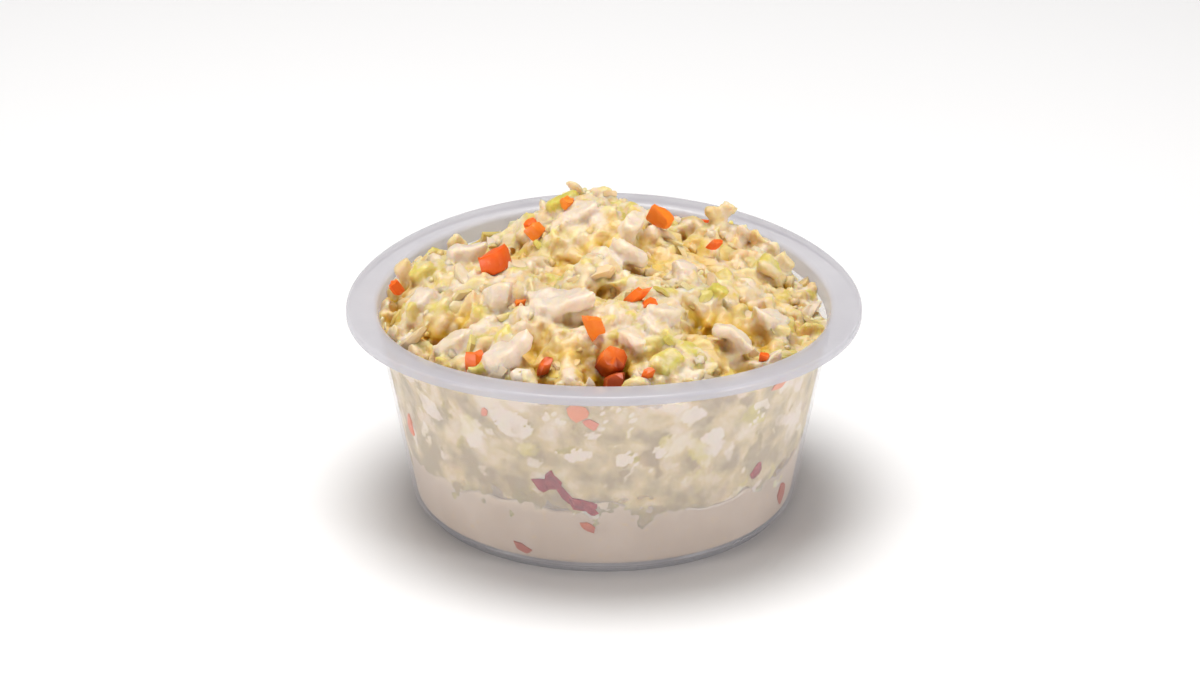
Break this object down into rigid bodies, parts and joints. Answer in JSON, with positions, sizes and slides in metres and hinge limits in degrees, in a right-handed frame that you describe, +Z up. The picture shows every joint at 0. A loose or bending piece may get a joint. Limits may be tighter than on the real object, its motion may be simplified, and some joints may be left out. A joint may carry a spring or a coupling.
{
  "type": "coleslaw in a portion cup",
  "caption": "Finely chopped creamy coleslaw heaped in a small milky plastic portion cup, with the dressing settled in the cup's lower part.",
  "frame": {"origin": "on the cup's axis, at the height of the surface that the foot ring stands on", "axes": "+Z up along the cup's axis; -Y towards the front, the side that the picture shows; +X to its right"},
  "size_m": [0.09, 0.09, 0.0505],
  "materials": {
    "milky_plastic": "translucent milky polypropylene, satin",
    "dressing": "creamy dressing, wet satin",
    "slaw": "chopped cabbage coated in dressing, wet satin",
    "cabbage": "chopped cabbage, white to pale green, wet satin",
    "carrot": "chopped carrot, wet satin"
  },
  "bodies": {
    "root": {"cup": "milky_plastic", "dressing": "dressing", "slaw": "slaw"}
  },
  "joints": []
}
